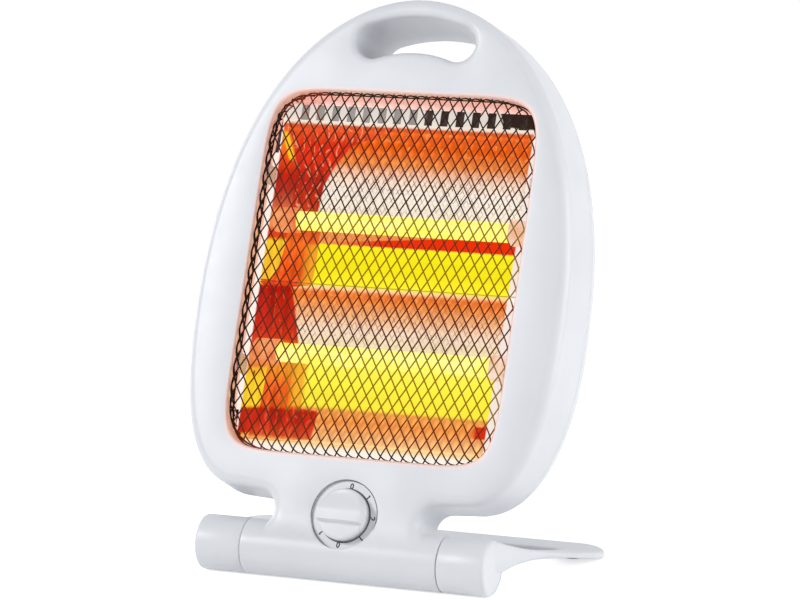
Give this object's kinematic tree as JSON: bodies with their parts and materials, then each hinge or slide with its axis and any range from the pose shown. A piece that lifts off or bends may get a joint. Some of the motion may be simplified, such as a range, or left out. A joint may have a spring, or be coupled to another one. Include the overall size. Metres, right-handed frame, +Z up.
{
  "type": "folding quartz radiant heater",
  "caption": "Portable electric heater: egg-shaped casing with a hand hole, glowing tubes in polished troughs behind a wire guard, rotary knob, and a hinged loop stand.",
  "frame": {"origin": "centre of the overall box, on the floor the heater stands on", "axes": "+Z up, -Y the way the heat leaves (the front), +X to the right seen from the front; the hinge axis is parallel to X"},
  "size_m": [0.248, 0.1824, 0.3422],
  "materials": {
    "casing_plastic": "satin white moulding",
    "stand_plastic": "satin white moulding",
    "knob_plastic": "satin white moulding",
    "guard_wire": "black enamel on steel",
    "polished_sheet": "polished",
    "quartz": "frosted quartz, lit from inside",
    "heating_wire": "glowing",
    "cap_ceramic": "unglazed",
    "steel": "zinc plated",
    "black_plastic": "matt",
    "brass": "plain",
    "brown_sheath": "heat-resistant sheath",
    "blue_sheath": "heat-resistant sheath",
    "pad_rubber": "matt"
  },
  "bodies": {
    "stand": {"stand_frame": "stand_plastic", "left_end_cover": "stand_plastic", "right_end_cover": "stand_plastic", "left_hinge_screw": "steel", "right_hinge_screw": "steel", "left_spring_washer": "steel", "right_spring_washer": "steel", "left_hinge_nut": "steel", "right_hinge_nut": "steel", "left_foot_pad": "pad_rubber", "right_foot_pad": "pad_rubber"},
    "housing": {"front_cover": "casing_plastic", "rear_cover": "casing_plastic", "guard_mesh": "guard_wire", "guard_clips": "steel", "upper_reflector": "polished_sheet", "lower_reflector": "polished_sheet", "left_end_plate": "polished_sheet", "right_end_plate": "polished_sheet", "reflector_screws": "steel", "upper_tube": "quartz", "lower_tube": "quartz", "upper_element": "heating_wire", "lower_element": "heating_wire", "upper_left_cap": "cap_ceramic", "upper_right_cap": "cap_ceramic", "lower_left_cap": "cap_ceramic", "lower_right_cap": "cap_ceramic", "upper_left_bracket": "steel", "upper_right_bracket": "steel", "lower_left_bracket": "steel", "lower_right_bracket": "steel", "bracket_screws": "steel", "tube_terminals": "steel", "dial_ring": "knob_plastic", "rotary_switch": "black_plastic", "switch_terminals": "brass", "switch_screws": "steel", "thermal_cutout": "black_plastic", "cutout_screws": "steel", "tip_frame": "black_plastic", "tip_pin": "steel", "tip_microswitch": "black_plastic", "terminal_block": "cap_ceramic", "terminal_screws": "brass", "cable_bushing": "black_plastic", "live_lead": "brown_sheath", "upper_tube_lead": "brown_sheath", "lower_tube_lead": "brown_sheath", "tube_link_lead": "brown_sheath", "cutout_lead": "blue_sheath", "neutral_lead": "blue_sheath", "case_screws": "steel"},
    "knob": {"knob": "knob_plastic", "knob_spindle": "steel", "knob_clip": "steel"},
    "tip_weight": {"tip_weight": "brass"}
  },
  "joints": [
    {"name": "stand_hinge", "type": "hinge", "parent": "stand", "child": "housing", "pos_m": [0, -0.07418, 0.017], "axis": [1, 0, 0], "range_deg": [-23.5, 26.5]},
    {"name": "knob_turn", "type": "hinge", "parent": "housing", "child": "knob", "pos_m": [0, -0.0829, 0.04397], "axis": [0, -0.9304, 0.3665], "continuous": true},
    {"name": "tip_swing", "type": "hinge", "parent": "housing", "child": "tip_weight", "pos_m": [0.032, -0.05416, 0.05963], "axis": [1, 0, 0], "range_deg": [-25, 25]}
  ]
}
